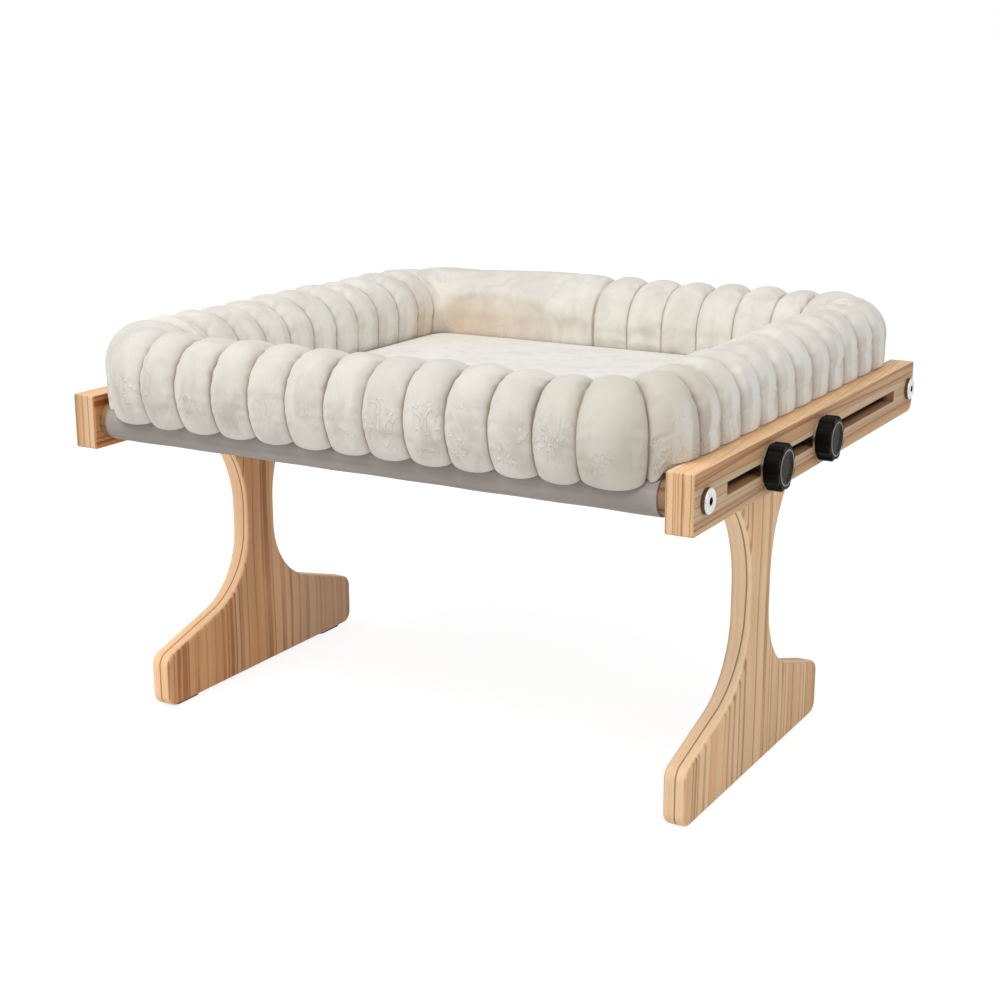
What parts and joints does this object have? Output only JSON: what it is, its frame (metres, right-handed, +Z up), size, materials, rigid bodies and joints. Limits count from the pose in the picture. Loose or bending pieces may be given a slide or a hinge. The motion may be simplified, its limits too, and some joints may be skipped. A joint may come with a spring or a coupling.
{
  "type": "window mounted cat perch",
  "caption": "Cat bed for a window: wooden rails and dowels carry a sling and a channelled bolster cushion, on legs that slide in slots and clamp with hand knobs.",
  "frame": {"origin": "on the floor under the middle of the bed", "axes": "+X across the bed towards the right rail, +Y towards the window, +Z up"},
  "size_m": [0.5228, 0.47, 0.312],
  "materials": {
    "rail_pine": "light pine, sanded and oiled",
    "leg_pine": "light pine, upright grain",
    "dowel_pine": "pine dowel",
    "sling_cloth": "warm grey woven cloth",
    "velvet": "cream short-pile velvet",
    "bolt_steel": "satin zinc",
    "insert_steel": "zinc",
    "knob_brass": "turned",
    "knob_plastic": "black satin",
    "cap_plastic": "dark grey satin",
    "pad_rubber": "matt"
  },
  "bodies": {
    "frame": {"right_rail": "rail_pine", "left_rail": "rail_pine", "front_dowel": "dowel_pine", "rear_dowel": "dowel_pine", "front_sleeve": "sling_cloth", "rear_sleeve": "sling_cloth", "sling_panel": "sling_cloth", "right_frame_bolts": "bolt_steel", "left_frame_bolts": "bolt_steel", "right_dowel_inserts": "insert_steel", "left_dowel_inserts": "insert_steel"},
    "cushion": {"bolster": "velvet", "floor_pad": "velvet"},
    "right_leg_body": {"right_leg": "leg_pine", "right_clamp_bolts": "bolt_steel", "right_washers": "bolt_steel", "right_front_foot_pad": "pad_rubber", "right_rear_foot_pad": "pad_rubber"},
    "right_front_knob_body": {"right_front_knob": "knob_plastic", "right_front_knob_cap": "cap_plastic", "right_front_knob_insert": "knob_brass"},
    "right_rear_knob_body": {"right_rear_knob": "knob_plastic", "right_rear_knob_cap": "cap_plastic", "right_rear_knob_insert": "knob_brass"},
    "left_leg_body": {"left_leg": "leg_pine", "left_clamp_bolts": "bolt_steel", "left_washers": "bolt_steel", "left_front_foot_pad": "pad_rubber", "left_rear_foot_pad": "pad_rubber"},
    "left_front_knob_body": {"left_front_knob": "knob_plastic", "left_front_knob_cap": "cap_plastic", "left_front_knob_insert": "knob_brass"},
    "left_rear_knob_body": {"left_rear_knob": "knob_plastic", "left_rear_knob_cap": "cap_plastic", "left_rear_knob_insert": "knob_brass"}
  },
  "joints": [
    {"name": "right_leg_slide", "type": "slide", "parent": "frame", "child": "right_leg_body", "axis": [0, 1, 0], "range_m": [-0.0665, 0.164]},
    {"name": "right_front_knob_turn", "type": "hinge", "parent": "right_leg_body", "child": "right_front_knob_body", "pos_m": [0.256, -0.09725, 0.238], "axis": [1, 0, 0], "continuous": true},
    {"name": "right_rear_knob_turn", "type": "hinge", "parent": "right_leg_body", "child": "right_rear_knob_body", "pos_m": [0.256, 0.00025, 0.238], "axis": [1, 0, 0], "continuous": true},
    {"name": "left_leg_slide", "type": "slide", "parent": "frame", "child": "left_leg_body", "axis": [0, 1, 0], "range_m": [-0.0665, 0.164]},
    {"name": "left_front_knob_turn", "type": "hinge", "parent": "left_leg_body", "child": "left_front_knob_body", "pos_m": [-0.256, -0.09725, 0.238], "axis": [-1, 0, 0], "continuous": true},
    {"name": "left_rear_knob_turn", "type": "hinge", "parent": "left_leg_body", "child": "left_rear_knob_body", "pos_m": [-0.256, 0.00025, 0.238], "axis": [-1, 0, 0], "continuous": true},
    {"name": "cushion_lift", "type": "slide", "parent": "frame", "child": "cushion", "axis": [0, 0, 1], "range_m": [0, 0.12]}
  ]
}
